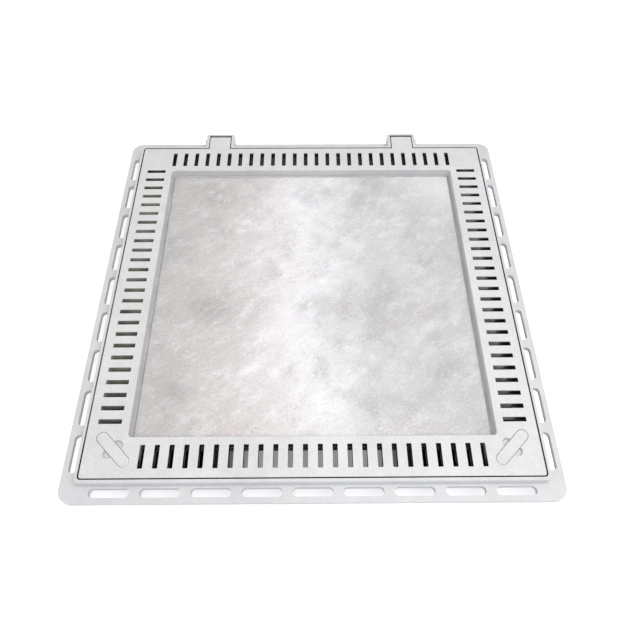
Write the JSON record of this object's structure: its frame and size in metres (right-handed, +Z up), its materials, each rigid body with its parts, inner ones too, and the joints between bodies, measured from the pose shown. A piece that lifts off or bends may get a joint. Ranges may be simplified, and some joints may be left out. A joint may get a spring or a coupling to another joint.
{
  "type": "hinged access cover",
  "caption": "Square hinged manhole cover with a cement-look infill in its recess, a border of drainage slots, flush lift bars and a frame with a slotted anchoring flange.",
  "frame": {"origin": "middle of the frame's opening, on the underside of the anchoring flange", "axes": "+Z up towards the walked-on face, +Y towards the hinges, +X to the right seen from the lift handles"},
  "size_m": [0.5, 0.5074, 0.045],
  "materials": {
    "shell": "satin",
    "infill": "matte",
    "mortar": "matte",
    "seal": "matte",
    "cushion": "matte",
    "stainless": "satin",
    "galvanised": "satin"
  },
  "bodies": {
    "frame": {"frame": "shell", "cushion_front": "cushion", "cushion_back": "cushion", "cushion_left": "cushion", "cushion_right": "cushion", "hinge_pin_left": "stainless", "hinge_pin_right": "stainless"},
    "lid": {"lid": "shell", "infill_slab": "infill", "mortar_bed": "mortar", "joint_seal": "seal", "stiffener_front": "galvanised", "stiffener_middle": "galvanised", "stiffener_back": "galvanised", "stiffener_screws": "stainless"},
    "left_handle": {"handle_left": "shell", "stop_plate_left": "stainless", "stop_screws_left": "stainless"},
    "right_handle": {"handle_right": "shell", "stop_plate_right": "stainless", "stop_screws_right": "stainless"}
  },
  "joints": [
    {"name": "lid_hinge", "type": "hinge", "parent": "frame", "child": "lid", "pos_m": [0, 0.24581, 0.0115], "axis": [-1, 0, 0], "range_deg": [0, 108]},
    {"name": "left_handle_lift", "type": "slide", "parent": "lid", "child": "left_handle", "axis": [0, 0, 1], "range_m": [0, 0.02]},
    {"name": "right_handle_lift", "type": "slide", "parent": "lid", "child": "right_handle", "axis": [0, 0, 1], "range_m": [0, 0.02]}
  ]
}
